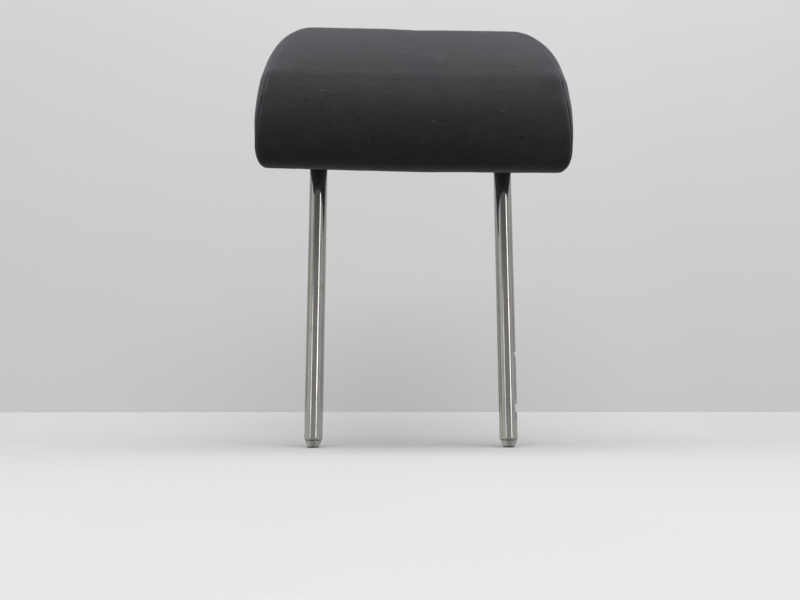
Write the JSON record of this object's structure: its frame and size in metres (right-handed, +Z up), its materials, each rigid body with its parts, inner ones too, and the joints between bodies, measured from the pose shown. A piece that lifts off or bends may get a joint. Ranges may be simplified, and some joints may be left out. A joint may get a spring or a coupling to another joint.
{
  "type": "car headrest",
  "caption": "Padded car seat headrest with a cloth cover over foam, on a bent tube whose two straight posts plug into the seat back.",
  "frame": {"origin": "midway between the lower ends of the two posts, at their end faces", "axes": "+Z up along the posts, -Y towards the occupant's head, +X to the right seen from the front"},
  "size_m": [0.2418, 0.0995, 0.3465],
  "materials": {
    "post_steel": "bright plated steel tube, drawn lengthwise",
    "foam": "open moulded foam",
    "carrier_plastic": "moulded, matt",
    "screw_zinc": "zinc plated",
    "cover_cloth": "fine flat charcoal upholstery cloth",
    "trim_plastic": "moulded, satin"
  },
  "bodies": {
    "root": {"post_frame": "post_steel", "foam_core": "foam", "carrier_front": "carrier_plastic", "carrier_rear": "carrier_plastic", "carrier_screw_1": "screw_zinc", "carrier_screw_2": "screw_zinc", "carrier_screw_3": "screw_zinc", "carrier_screw_4": "screw_zinc", "cover_centre_panel": "cover_cloth", "cover_side_left": "cover_cloth", "cover_side_right": "cover_cloth", "cover_base_panel": "cover_cloth", "closing_channel": "trim_plastic", "closing_hook": "trim_plastic", "post_collar_left": "trim_plastic", "post_collar_right": "trim_plastic"}
  },
  "joints": []
}
